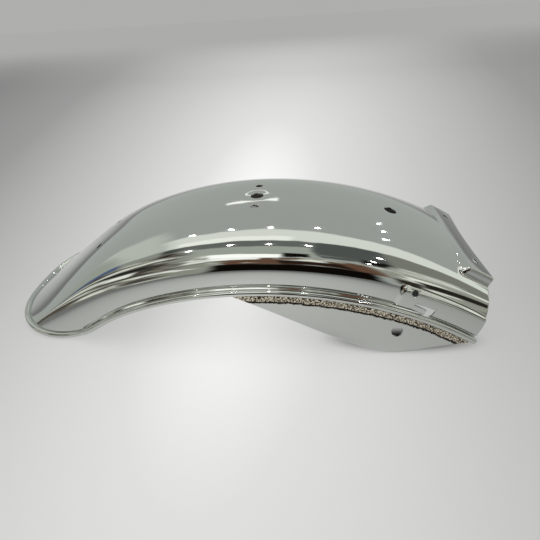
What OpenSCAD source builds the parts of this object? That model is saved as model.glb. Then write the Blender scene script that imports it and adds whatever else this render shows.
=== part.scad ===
// Rear mudguard of a motorcycle: one pressed and chromed steel sheet.
// Angles are measured about the wheel axle, from the section through the main bolt hole,
// positive towards the front. +X is forward, +Y is the left side, +Z is up.

/* [Sheet] */
// Thickness of the steel sheet
sheet_t = 1.2; // [0.8:0.1:2]
// Radius of the crown line about the wheel axle
crown_r = 350; // [310:1:400]
// Half of the width across the flanks
half_w = 74; // [66:1:90]
// Height from the widest point of the flank up to the crown line
crown_h = 40.4; // [32:0.2:50]
// Height of the straight flank between its widest point and the rolled edge
flank_straight = 1.4; // [0.5:0.1:10]
// How far the straight flank leans outwards
flank_lean = 1.2; // [0:0.1:3]
// Squareness of the crown section, where 2 is an ellipse
squareness = 2.7; // [2.1:0.05:3]

/* [Ends] */
// Angle from the main bolt hole back to the tail end, on the crown line
tail_angle = 41.9; // [38:0.2:48]
// Angle that the round tail end takes up, from its tip to the straight edge
tail_round = 15; // [9:0.2:18]
// Depth of the hollow ahead of the flared tail tip
tail_hollow = 4.6; // [0:0.2:7]
// Angle that the hollow and the flare take up
flare_span = 23.4; // [16:0.2:28]
// Angle from the main bolt hole forward to the front edge, on the crown line
front_angle = 30.8; // [29:0.2:36]
// How much further the front edge reaches at its lower corners, in degrees
front_lean = 3; // [0:0.1:5]

/* [Rolled edge] */
// Radius of the rolled edge
roll_r = 2.6; // [1.8:0.1:4]
// How far the roll's centre stands out from the outer face of the sheet
roll_out = 0.5; // [0:0.1:1.5]

/* [Crown holes] */
// Diameter of the main bolt hole and of the forward bolt hole
main_hole_d = 10.8; // [6:0.1:13]
// Angle of the forward bolt hole
fwd_hole_angle = 18.7; // [12:0.1:24]
// Diameter of the small hole on each side of the main bolt hole
side_hole_d = 6.4; // [4:0.1:8]
// Distance from the main bolt hole to each small hole
side_hole_y = 20.4; // [16:0.2:30]
// Diameter of the tail holes
tail_hole_d = 6.4; // [4:0.1:8]
// Angle of the tail holes behind the main bolt hole
tail_hole_angle = 24.3; // [18:0.1:27]
// Distance from the crown line to each tail hole
tail_hole_y = 22; // [16:0.2:34]
// Diameter of the front holes
front_hole_d = 6; // [4:0.1:8]
// Distance from the crown line to each front hole
front_hole_y = 37; // [30:0.2:42]
// Distance from each front hole back from the front edge
front_hole_edge = 8.5; // [5:0.2:10]

/* [Front strip] */
// Length of the flat strip across the crown at the front edge
strip_len = 24; // [16:1:32]
// Half width of the flat strip
strip_half_w = 56; // [48:0.5:60]
// Width of the step down from the strip to the shoulder
strip_step = 5; // [3:0.5:8]

/* [Flank pads] */
// Angle where the raised pad on each flank starts
pad_start = 20.2; // [16:0.2:21]
// How far the pad stands out from the flank
pad_lift = 1.6; // [0.5:0.1:3]
// Height of the pad's upper border above the rolled edge
pad_top = 20; // [16:0.5:26]
// Height of the pad's lower border above the rolled edge
pad_bottom = 3; // [2:0.5:8]
// Diameter of the hole in each pad
pad_hole_d = 5; // [3:0.1:7]
// Angle of the pad hole
pad_hole_angle = 21.7; // [21:0.1:26]
// Height of the pad hole above the rolled edge
pad_hole_up = 16; // [13:0.5:20]

/* [Clip window] */
// Length of the window in the right-hand pad, along the arc
window_len = 17; // [14:0.5:24]
// Height of the window
window_h = 8.6; // [7:0.2:11]
// Angle of the middle of the window
window_angle = 24; // [23.4:0.1:27]
// Height of the window's lower border above the rolled edge
window_up = 0.6; // [0.4:0.2:2]
// Length of the tongue that reaches forward over the window
tongue_len = 9.5; // [5:0.5:12]
// Gap between the tongue and the window's upper border
tongue_gap = 2.4; // [1:0.2:4]
// Gap between the tongue and the window's lower border
tongue_rise = 0.8; // [0.4:0.2:2]
// How far the tongue's free end stands out from the pad
tongue_lift = 1.8; // [0.5:0.1:4]

/* [Side wings] */
// Angle where each wing starts at the rear
wing_start = -3.6; // [-8:0.2:2]
// Angle where each wing is widest
wing_peak = 20; // [14:0.5:24]
// Greatest width of a wing, across its curve from the rolled edge
wing_w = 35.5; // [24:0.5:46]
// Slope of the wing below the horizontal where its ledge ends
wing_slope = 82; // [70:1:88]
// Radius of the joggle that brings the wing out from under the rolled edge
wing_joggle_r = 1.5; // [1:0.1:2.5]
// Slope of the joggle below the horizontal, at its flattest
wing_joggle_slope = 20; // [0:1:40]
// Radius of the ledge that the wing bends down from
wing_ledge_r = 2.4; // [1.6:0.1:4]
// How much the wing flares outwards over each millimetre of its width, in degrees
wing_bend = 0.5; // [0.2:0.05:0.8]
// Diameter of the hole in each wing
wing_hole_d = 8.8; // [5:0.1:11]
// Angle of the wing hole
wing_hole_angle = 22.2; // [14:0.2:25]
// Distance across the wing from the rolled edge to its hole
wing_hole_out = 14.5; // [10:0.5:18]

/* [Hidden] */
$fn = 36;

// Depth from the crown line down to the rolled edge
flank_depth = crown_h + flank_straight;

// Counts of the grid that the sheet is lofted on
quarter_steps = 60;
tail_rows = 20;
front_rows = 20;
rows = tail_rows + front_rows;
columns = 30;
last_column_angle = 82;
front_zone_angle = pad_start - 2;
roll_steps = 6;
wing_rows = 16;
ledge_steps = 5;
skirt_steps = 3;
wing_columns = ledge_steps + skirt_steps;
through = 40;

// Half section from the crown line outwards: a quarter of a superellipse and then the foot
// of the flank, which leans outwards to the rolled edge, as [across, up] from the crown line
half_section = [
    for (i = [0:quarter_steps])
        let (a = 90 * i / quarter_steps)
            [half_w * pow(sin(a), 2 / squareness), crown_h * (pow(cos(a), 2 / squareness) - 1)],
    [half_w + flank_lean, -flank_depth]
];
function run_to(i) = i == 0 ? 0 : run_to(i - 1) + norm(half_section[i] - half_section[i - 1]);
across_by_run = [for (i = [0:len(half_section) - 1]) [run_to(i), half_section[i][0]]];
up_by_run = [for (i = [0:len(half_section) - 1]) [run_to(i), half_section[i][1]]];
half_run = run_to(len(half_section) - 1);

// Rising step from 0 at a to 1 at b, smooth at both ends
function ease(x, a, b) = let (u = min(1, max(0, (x - a) / (b - a)))) u * u * (3 - 2 * u);
function unit(v) = v / norm(v);
function degrees_of(length) = length / crown_r * 180 / PI;

// Section point and its outward normal at run s, where s is negative on the right
function section_at(s) = [sign(s) * lookup(abs(s), across_by_run), lookup(abs(s), up_by_run)];
function section_normal(s) =
    let (t = unit(section_at(min(s + 0.8, half_run)) - section_at(max(s - 0.8, -half_run))))
        [-t[1], t[0]];

// Borders of the sheet, and the hollow that runs out into the flared tail tip
function tail_border(s) = -tail_angle + tail_round * (1 - sqrt(max(0, 1 - pow(s / half_run, 2))));
function front_border(s) = front_angle + front_lean * pow(s / half_run, 2);
function flare(a) =
    let (u = min(1, max(0, (flare_span - tail_angle - a) / flare_span)))
        -tail_hollow * 27 / 4 * u * u * (1 - u);

front_hole_angle = front_border(front_hole_y) - degrees_of(front_hole_edge);

// Relief pressed into the sheet: the flat front strip and the flank pads
strip_start = front_angle - degrees_of(strip_len);
function strip_relief(a, s) =
    -section_at(s)[1] * ease(a, strip_start, strip_start + degrees_of(strip_step * 1.5))
        * (1 - ease(abs(s), strip_half_w - strip_step, strip_half_w));
function pad_relief(a, s) =
    let (up = half_run - abs(s))
        pad_lift * ease(a, pad_start - 0.6, pad_start + 0.2)
            * ease(up, pad_bottom - 2, pad_bottom) * (1 - ease(up, pad_top - 4, pad_top));

// Point of the sheet at angle a and run s, lifted by out from the outer face
function sheet_point(a, s, out) =
    let (
        q = section_at(s),
        n = section_normal(s),
        lift = out + strip_relief(a, s) + pad_relief(a, s),
        r = crown_r + flare(a) + q[1] + n[1] * lift
    ) [r * sin(a), q[0] + n[0] * lift, r * cos(a)];

// Grid of the sheet, with its columns closer together towards the edges
function column_run(j) =
    half_run * sin(last_column_angle * (2 * j / columns - 1)) / sin(last_column_angle);
front_zone = (front_zone_angle + tail_angle) / (front_angle + tail_angle);
function row_share(i) =
    i < tail_rows ? front_zone * i / tail_rows
        : front_zone + (1 - front_zone) * (i - tail_rows) / front_rows;
function grid_point(i, j, out) =
    let (s = column_run(j), back = tail_border(s))
        sheet_point(back + row_share(i) * (front_border(s) - back), s, out);
outer_grid = [for (i = [0:rows]) for (j = [0:columns]) grid_point(i, j, 0)];
inner_grid = [for (i = [0:rows]) for (j = [0:columns]) grid_point(i, j, -sheet_t)];
function at(i, j) = i * (columns + 1) + j;

// Border from the front right corner, round the tail, to the front left corner
border = concat(
    [for (i = [rows:-1:1]) at(i, 0)],
    [for (j = [0:columns]) at(0, j)],
    [for (i = [1:rows]) at(i, columns)]
);
border_last = len(border) - 1;
roll_from = 155;
roll_to = -140;

// One ring of the rolled edge, from the outer face round to the inner face
function roll_ring(k) =
    let (
        p = outer_grid[border[k]],
        along = unit(outer_grid[border[min(k + 1, border_last)]] - outer_grid[border[max(k - 1, 0)]]),
        off = unit(cross(p - inner_grid[border[k]], along)),
        out = unit(cross(along, off)),
        centre = p + off * roll_r + out * roll_out
    ) [
        for (m = [0:roll_steps])
            let (a = roll_from + (roll_to - roll_from) * m / roll_steps)
                centre + roll_r * (cos(a) * off + sin(a) * out)
    ];
function roll_centre(k) = (roll_ring(k)[0] + roll_ring(k)[roll_steps / 2]) / 2;
roll_points = [for (k = [0:border_last]) each roll_ring(k)];

// Middle of the rolled edge in the section plane, where the foot of the flank leads into it
foot_angle = atan2(flank_lean, flank_straight);
bead_y = half_w + flank_lean + roll_r * sin(foot_angle) + roll_out * cos(foot_angle);
bead_r = crown_r - flank_depth - roll_r * cos(foot_angle) + roll_out * sin(foot_angle);

// Wing in the section plane: three arcs that start inside the rolled edge, heading down. The
// joggle turns outwards, the ledge turns down again and the skirt flares outwards slowly.
// Each arc is [slope at its start, change of slope over each millimetre, length]
wing_end = front_angle + front_lean;
wing_root_y = bead_y - roll_r * 0.8;
wing_root_r = bead_r - roll_r * 0.3;
joggle_rate = -180 / (PI * wing_joggle_r);
ledge_rate = 180 / (PI * wing_ledge_r);
wing_arcs = [
    [90, joggle_rate, (wing_joggle_slope - 90) / joggle_rate],
    [wing_joggle_slope, ledge_rate, (wing_slope - wing_joggle_slope) / ledge_rate],
    [wing_slope, -wing_bend, 2 * wing_w]
];
ledge_end = wing_arcs[0][2] + wing_arcs[1][2];
arc_starts = [0, wing_arcs[0][2], ledge_end];
function run_in(w, k) = min(wing_arcs[k][2], max(0, w - arc_starts[k]));
function slope_in(w, k) = wing_arcs[k][0] + wing_arcs[k][1] * run_in(w, k);
function arc_out(w, k) = (sin(slope_in(w, k)) - sin(wing_arcs[k][0])) / wing_arcs[k][1] * 180 / PI;
function arc_down(w, k) = (cos(wing_arcs[k][0]) - cos(slope_in(w, k))) / wing_arcs[k][1] * 180 / PI;
function wing_slope_at(w) = w > ledge_end ? slope_in(w, 2) : w > arc_starts[1] ? slope_in(w, 1) : slope_in(w, 0);
function wing_across(w) = wing_root_y + arc_out(w, 0) + arc_out(w, 1) + arc_out(w, 2);
function wing_radius(w) = wing_root_r - arc_down(w, 0) - arc_down(w, 1) - arc_down(w, 2);
function wing_width(a) =
    roll_r * 0.6 + wing_w * (a < wing_peak
        ? pow(sin(90 * (a - wing_start) / (wing_peak - wing_start)), 0.9)
        : cos(90 * (a - wing_peak) / (wing_end - wing_peak)));
function wing_point(a, w, out) =
    let (
        slope = wing_slope_at(w),
        r = wing_radius(w) + out * cos(slope)
    ) [r * sin(a), wing_across(w) + out * sin(slope), r * cos(a)];
function wing_run(j, width) =
    let (ledge = min(ledge_end, width * 0.8))
        j <= ledge_steps ? ledge * j / ledge_steps : ledge + (width - ledge) * (j - ledge_steps) / skirt_steps;
function wing_grid(out) = [
    for (i = [0:wing_rows]) for (j = [0:wing_columns])
        let (a = wing_start + (wing_end - wing_start) * i / wing_rows)
            wing_point(a, wing_run(j, wing_width(a)), out)
];

// Attitude at rest: a plane touches the tail rim and the lowest point of the front half
function lean_to(p, q) = atan2(p[2] - q[2], p[0] - q[0]);
tail_rim = [for (k = [rows + 1:rows + columns - 1]) each roll_ring(k)];
front_feet = concat(
    roll_ring(0),
    [for (i = [0:wing_rows]) wing_grid(0)[i * (wing_columns + 1) + wing_columns]],
    [for (i = [0:wing_rows]) wing_grid(-sheet_t)[i * (wing_columns + 1) + wing_columns]]
);
rest_lean = min([for (p = front_feet) max([for (q = tail_rim) lean_to(p, q)])]);
function leaned(p) =
    [p[0] * cos(rest_lean) + p[2] * sin(rest_lean), p[1], p[2] * cos(rest_lean) - p[0] * sin(rest_lean)];
rest_points = [for (p = concat(outer_grid, roll_points, front_feet)) leaned(p)];
rest_x = [for (p = rest_points) p[0]];
rest_z = [for (p = rest_points) p[2]];
rest_mid_x = (min(rest_x) + max(rest_x)) / 2;
rest_low = min(rest_z);

// Two triangles for each cell of a grid with the given corner indices
function cell(a, b, c, d) = [[a, b, c], [a, c, d]];

module sheet() {
    count = len(outer_grid);
    ring = roll_steps + 1;
    first = 2 * count;
    function ring_index(k) = concat(
        [border[k]], [for (m = [0:roll_steps]) first + k * ring + m], [count + border[k]]
    );
    centre_index = first + (border_last + 1) * ring;
    faces = concat(
        [for (i = [0:rows - 1]) for (j = [0:columns - 1])
            each cell(at(i, j), at(i, j + 1), at(i + 1, j + 1), at(i + 1, j))],
        [for (i = [0:rows - 1]) for (j = [0:columns - 1])
            each cell(count + at(i, j), count + at(i + 1, j), count + at(i + 1, j + 1), count + at(i, j + 1))],
        [for (j = [0:columns - 1])
            each cell(at(rows, j), at(rows, j + 1), count + at(rows, j + 1), count + at(rows, j))],
        [for (k = [0:border_last - 1])
            let (p = ring_index(k), q = ring_index(k + 1))
                for (m = [0:ring]) each cell(p[m], p[m + 1], q[m + 1], q[m])],
        [for (m = [0:ring]) let (p = ring_index(0)) [centre_index, p[m + 1], p[m]]],
        [let (p = ring_index(0)) [centre_index, p[0], p[ring + 1]]],
        [for (m = [0:ring]) let (p = ring_index(border_last)) [centre_index + 1, p[m], p[m + 1]]],
        [let (p = ring_index(border_last)) [centre_index + 1, p[ring + 1], p[0]]]
    );
    polyhedron(
        concat(outer_grid, inner_grid, roll_points, [roll_centre(0), roll_centre(border_last)]),
        faces
    );
}

module wing() {
    n = (wing_rows + 1) * (wing_columns + 1);
    function w_at(i, j) = i * (wing_columns + 1) + j;
    polyhedron(
        concat(wing_grid(0), wing_grid(-sheet_t)),
        concat(
            [for (i = [0:wing_rows - 1]) for (j = [0:wing_columns - 1])
                each cell(w_at(i, j), w_at(i, j + 1), w_at(i + 1, j + 1), w_at(i + 1, j))],
            [for (i = [0:wing_rows - 1]) for (j = [0:wing_columns - 1])
                each cell(n + w_at(i, j), n + w_at(i + 1, j), n + w_at(i + 1, j + 1), n + w_at(i, j + 1))],
            [for (j = [0:wing_columns - 1])
                each cell(w_at(wing_rows, j), w_at(wing_rows, j + 1),
                    n + w_at(wing_rows, j + 1), n + w_at(wing_rows, j))],
            [for (j = [0:wing_columns - 1])
                each cell(w_at(0, j + 1), w_at(0, j), n + w_at(0, j), n + w_at(0, j + 1))],
            [for (i = [0:wing_rows - 1])
                each cell(w_at(i, 0), w_at(i + 1, 0), n + w_at(i + 1, 0), n + w_at(i, 0))],
            [for (i = [0:wing_rows - 1])
                each cell(w_at(i + 1, wing_columns), w_at(i, wing_columns),
                    n + w_at(i, wing_columns), n + w_at(i + 1, wing_columns))]
        )
    );
}

// Straight hole through the crown at angle a and distance y from the crown line
module crown_hole(a, y, d) {
    rotate([0, a, 0]) translate([0, y, crown_r - through / 2]) cylinder(h = through, d = d);
}

// Hole square to the wing
module wing_hole() {
    w = roll_r + wing_hole_out;
    rotate([0, wing_hole_angle, 0])
        translate([0, wing_across(w), wing_radius(w)])
            rotate([-wing_slope_at(w), 0, 0])
                cylinder(h = through / 2, d = wing_hole_d, center = true);
}

// Hole straight across the right-hand flank pad
module pad_hole() {
    rotate([0, pad_hole_angle, 0])
        translate([0, -half_w, crown_r - flank_depth + pad_hole_up])
            rotate([90, 0, 0]) cylinder(h = through / 2, d = pad_hole_d, center = true);
}

module clip_window() {
    rotate([0, window_angle, 0])
        translate([-window_len / 2, -half_w - through / 2, crown_r - flank_depth + window_up])
            cube([window_len, through, window_h]);
}

// Tongue bent outwards from the window's rear border, to hold a wire
module clip_tongue() {
    root = sheet_t * 2;
    height = window_h - tongue_gap - tongue_rise;
    rotate([0, window_angle, 0])
        translate([-window_len / 2, -half_w - pad_lift, crown_r - flank_depth + window_up + tongue_rise])
            rotate([0, 0, -asin(tongue_lift / tongue_len)])
                translate([-root, 0, 0]) cube([tongue_len + root, sheet_t, height]);
}

module mudguard_shell() {
    color("silver")
        translate([-rest_mid_x, 0, -rest_low])
            rotate([0, rest_lean, 0])
                difference() {
                    union() {
                        difference() {
                            sheet();
                            clip_window();
                        }
                        clip_tongue();
                        for (side = [0, 1]) mirror([0, side, 0]) wing();
                    }
                    crown_hole(0, 0, main_hole_d);
                    crown_hole(fwd_hole_angle, 0, main_hole_d);
                    for (side = [-1, 1]) {
                        crown_hole(0, side * side_hole_y, side_hole_d);
                        crown_hole(-tail_hole_angle, side * tail_hole_y, tail_hole_d);
                        crown_hole(front_hole_angle, side * front_hole_y, front_hole_d);
                    }
                    for (side = [0, 1]) mirror([0, side, 0]) wing_hole();
                    pad_hole();
                }
}

mudguard_shell();
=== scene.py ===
"""Looks of a chrome-plated motorcycle rear mudguard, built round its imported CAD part.

Flat blanks are pierced first and then pressed to shape by Geometry Nodes, as the real sheet is.
Lengths are in metres and angles in degrees. Angles are measured about the wheel axle from the
section through the main bolt hole, positive towards the front.
"""

import logging
import math
from dataclasses import dataclass, field
from enum import Enum
from typing import Callable, Union

import bpy
import numpy as np
from mathutils import Matrix, Vector


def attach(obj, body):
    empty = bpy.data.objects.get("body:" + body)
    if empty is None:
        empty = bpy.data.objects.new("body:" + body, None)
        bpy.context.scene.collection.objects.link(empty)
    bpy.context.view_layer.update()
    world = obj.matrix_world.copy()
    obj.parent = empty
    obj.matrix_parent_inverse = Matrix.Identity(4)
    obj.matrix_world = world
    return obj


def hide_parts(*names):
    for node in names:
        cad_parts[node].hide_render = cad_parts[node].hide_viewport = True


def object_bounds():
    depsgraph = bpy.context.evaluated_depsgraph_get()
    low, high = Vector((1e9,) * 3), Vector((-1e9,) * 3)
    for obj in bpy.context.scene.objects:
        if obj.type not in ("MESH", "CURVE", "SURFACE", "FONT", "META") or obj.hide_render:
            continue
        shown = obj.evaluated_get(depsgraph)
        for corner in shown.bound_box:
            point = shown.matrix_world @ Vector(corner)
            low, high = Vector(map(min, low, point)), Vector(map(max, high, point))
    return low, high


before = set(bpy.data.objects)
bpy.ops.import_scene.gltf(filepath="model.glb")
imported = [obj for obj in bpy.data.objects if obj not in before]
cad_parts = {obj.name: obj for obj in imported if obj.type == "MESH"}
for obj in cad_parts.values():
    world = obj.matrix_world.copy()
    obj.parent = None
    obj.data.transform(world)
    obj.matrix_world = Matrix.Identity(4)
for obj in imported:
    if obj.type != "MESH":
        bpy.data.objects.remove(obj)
CAD_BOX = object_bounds()

LOG = logging.getLogger("mudguard")
MM = 0.001
SHELL = "mudguard_shell"
DEGREES_PER_SINE = 60  # turns the soft border of a card to a share along X
HOLLOW_PEAK = 4 / 27  # greatest value of u * u * (1 - u), the form of the hollow before the tail

Value = Union[float, int, bool, str, tuple, bpy.types.ID, bpy.types.NodeSocket]


def add_node(
    tree: bpy.types.NodeTree, kind: str, links: dict | None = None, **settings: object
) -> bpy.types.Node:
    """Adds a node with its settings, and sets or links its inputs.

    Args:
        tree: node tree that gets the node.
        kind: Blender's type name of the node.
        links: input name or number, with the value or the output socket that it takes.
        settings: properties of the node itself.

    Returns:
        The new node.
    """
    node = tree.nodes.new(kind)
    for name, value in settings.items():
        setattr(node, name, value)
    for key, value in (links or {}).items():
        if isinstance(value, bpy.types.NodeSocket):
            tree.links.new(value, node.inputs[key])
        else:
            node.inputs[key].default_value = value
    return node


def linear(colour: str) -> tuple[float, float, float, float]:
    """Turns an sRGB hex colour into the linear colour that a shader takes."""
    parts = [int(colour[k:k + 2], 16) / 255 for k in (1, 3, 5)]
    return (*[c / 12.92 if c <= 0.04045 else ((c + 0.055) / 1.055) ** 2.4 for c in parts], 1.0)


@dataclass(frozen=True)
class RuleNode:
    """What a line of a rule turns into: a node's type, the inputs of its terms, its outputs."""

    kind: str
    inputs: tuple[int | str, ...] = (0, 1, 2)
    outputs: tuple[tuple[str, int], ...] = (("", 0),)
    settings: tuple[tuple[str, str], ...] = ()


MATH = "ShaderNodeMath"
RULE_NODES = {
    "EASE": RuleNode("ShaderNodeMapRange", settings=(("interpolation_type", "SMOOTHSTEP"),)),
    "MIX": RuleNode("ShaderNodeMix", (0, 6, 7), (("", 2),), (("data_type", "RGBA"),)),
    "RAMP": RuleNode("ShaderNodeValToRGB", (0,)),
    "NOISE": RuleNode("ShaderNodeTexNoise", ("Vector", "Scale", "Detail")),
    "BUMP": RuleNode("ShaderNodeBump", ("Height", "Distance", "Strength", "Normal")),
    "POINT": RuleNode("ShaderNodeCombineXYZ"),
    "SPLIT": RuleNode("ShaderNodeSeparateXYZ", (0,), (("_x", 0), ("_y", 1), ("_z", 2))),
}


def add_rule(tree: bpy.types.NodeTree, known: dict[str, Value], lines: list[tuple]) -> dict[str, Value]:
    """Turns the lines of a rule into nodes, one node for each line.

    Args:
        tree: node tree that gets the nodes.
        known: named sockets and numbers that the lines may use. The results are added to it.
        lines: tuples of result name, operation and terms. A term is a name, a hex colour or a
            value. EASE is a smooth step of its first term from its second to its third, RAMP
            takes its stops as second term, and SPLIT gives results that end in _x, _y and _z.
            BAND takes a term and four places: it eases in between the first two and out between
            the last two. An operation that isn't in RULE_NODES is that of a Math node.

    Returns:
        The named values, with the results added.
    """
    for result, operation, *terms in lines:
        if operation == "BAND":
            term, *places = terms
            add_rule(tree, known, [
                ("rise", "EASE", term, *places[:2]),
                ("fall", "EASE", term, *places[2:]),
                (result, "SUBTRACT", "rise", "fall"),
            ])
            continue
        values = [
            term if not isinstance(term, str) else linear(term) if term[0] == "#" else known[term]
            for term in terms
        ]
        rule = RULE_NODES.get(operation) or RuleNode(MATH, settings=(("operation", operation),))
        node = add_node(tree, rule.kind, dict(zip(rule.inputs, values)), **dict(rule.settings))
        if operation == "RAMP":
            fill_ramp(node.color_ramp, terms[1])
        known |= {result + ending: node.outputs[number] for ending, number in rule.outputs}
    return known


def fill_ramp(ramp: bpy.types.ColorRamp, stops: tuple[tuple[float, str], ...]) -> None:
    """Sets the stops of a colour ramp.

    Args:
        ramp: ramp that still has its two first stops.
        stops: position and hex colour of each stop, in order.
    """
    for k, (position, colour) in enumerate((stops[0], stops[-1])):
        ramp.elements[k].position = position
        ramp.elements[k].color = linear(colour)
    for position, colour in stops[1:-1]:
        ramp.elements.new(position).color = linear(colour)


class Tree:
    """A Geometry Nodes tree with named inputs, applied to a flat or linear start mesh."""

    def __init__(self, name: str, sizes: dict[str, float]) -> None:
        """Makes the tree with its geometry, size and material inputs.

        Args:
            name: name of the tree.
            sizes: named size inputs with the values that the modifier gives them.
        """
        self.tree = bpy.data.node_groups.new(name, "GeometryNodeTree")
        sockets = self.tree.interface
        for way in ("OUTPUT", "INPUT"):
            sockets.new_socket(name="Geometry", in_out=way, socket_type="NodeSocketGeometry")
        self.values: dict[str, Value] = {}
        for label, value in sizes.items():
            socket = sockets.new_socket(name=label, in_out="INPUT", socket_type="NodeSocketFloat")
            self.values[socket.identifier] = value
        self.finish_inputs: list[str] = []
        for label in ("Outer Finish", "Inner Finish"):
            socket = sockets.new_socket(name=label, in_out="INPUT", socket_type="NodeSocketMaterial")
            self.finish_inputs.append(socket.identifier)
        self.start = add_node(self.tree, "NodeGroupInput")

    def known(self) -> dict[str, Value]:
        """Returns the size inputs by name and the start mesh's flat_x, flat_y and flat_z."""
        known = {socket.name: socket for socket in self.start.outputs if socket.name}
        known["place"] = add_node(self.tree, "GeometryNodeInputPosition").outputs[0]
        return add_rule(self.tree, known, [("flat", "SPLIT", "place")])

    def bend(self, known: dict[str, Value]) -> None:
        """Bends the formed points round the wheel and closes the tree.

        Args:
            known: named values, among them radius, y_end and leaned, the angle about the axle.
        """
        add_rule(self.tree, known, [
            ("sin_a", "SINE", "leaned"),
            ("cos_a", "COSINE", "leaned"),
            ("x_end", "MULTIPLY", "radius", "sin_a"),
            ("z_end", "MULTIPLY", "radius", "cos_a"),
            ("formed", "POINT", "x_end", "y_end", "z_end"),
        ])
        placed = add_node(
            self.tree, "GeometryNodeSetPosition", {"Geometry": known["Geometry"], "Position": known["formed"]}
        )
        self.end(placed.outputs[0])

    def end(self, geometry: bpy.types.NodeSocket) -> None:
        """Closes the tree with smooth shading, real geometry and its two finishes.

        Args:
            geometry: socket with the formed geometry.
        """
        tree = self.tree
        smooth = add_node(tree, "GeometryNodeSetShadeSmooth", {"Geometry": geometry})
        real = add_node(tree, "GeometryNodeRealizeInstances", {"Geometry": smooth.outputs[0]})
        inner = add_node(tree, "GeometryNodeInputNamedAttribute", {"Name": "inner_face"}, data_type="BOOLEAN")
        outer = add_node(
            tree, "GeometryNodeSetMaterial",
            {"Geometry": real.outputs[0], "Material": self.start.outputs["Outer Finish"]},
        )
        both = add_node(
            tree, "GeometryNodeSetMaterial",
            {
                "Geometry": outer.outputs[0],
                "Selection": inner.outputs["Attribute"],
                "Material": self.start.outputs["Inner Finish"],
            },
        )
        add_node(tree, "NodeGroupOutput", {"Geometry": both.outputs[0]})

    def form(
        self, name: str, mesh: bpy.types.Mesh, outer: bpy.types.Material, inner: bpy.types.Material
    ) -> bpy.types.Object:
        """Runs the tree on a start mesh and returns the result as a plain mesh object.

        Args:
            name: name of the formed piece.
            mesh: start mesh.
            outer: finish of the outer skin.
            inner: finish of the inner skin.

        Returns:
            An object at the origin that holds the formed mesh.
        """
        start = bpy.data.objects.new(f"{name}_start", mesh)
        bpy.context.scene.collection.objects.link(start)
        modifier = start.modifiers.new("form", "NODES")
        modifier.node_group = self.tree
        for identifier, value in self.values.items():
            modifier[identifier] = value
        modifier[self.finish_inputs[0]] = outer
        modifier[self.finish_inputs[1]] = inner
        depsgraph = bpy.context.evaluated_depsgraph_get()
        formed = bpy.data.meshes.new_from_object(start.evaluated_get(depsgraph), depsgraph=depsgraph)
        formed.name = name
        bpy.data.objects.remove(start)
        piece = bpy.data.objects.new(name, formed)
        bpy.context.scene.collection.objects.link(piece)
        return piece


@dataclass(frozen=True)
class Opening:
    """A hole or window pierced in a flat blank, with an outline that is a superellipse."""

    along: float
    across: float
    half_along: float
    half_across: float
    squareness: float = 2.0
    dish: float = 0.0
    dish_reach: float = 5 * MM
    margin: float = 3.4 * MM

    def reach(self, angle: np.ndarray) -> np.ndarray:
        """Returns the distance from the middle to the outline in each direction."""
        share = (
            np.abs(np.cos(angle) / self.half_along) ** self.squareness
            + np.abs(np.sin(angle) / self.half_across) ** self.squareness
        )
        return share ** (-1 / self.squareness)

    def dip(self, points: np.ndarray) -> np.ndarray:
        """Returns how deep the dished rim lies at each flat point."""
        offset = points - (self.along, self.across)
        distance = np.hypot(offset[..., 0], offset[..., 1])
        outside = distance - self.reach(np.arctan2(offset[..., 1], offset[..., 0]))
        share = np.clip(outside / self.dish_reach, 0, 1)
        return self.dish * (1 - share * share * (3 - 2 * share))


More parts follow.
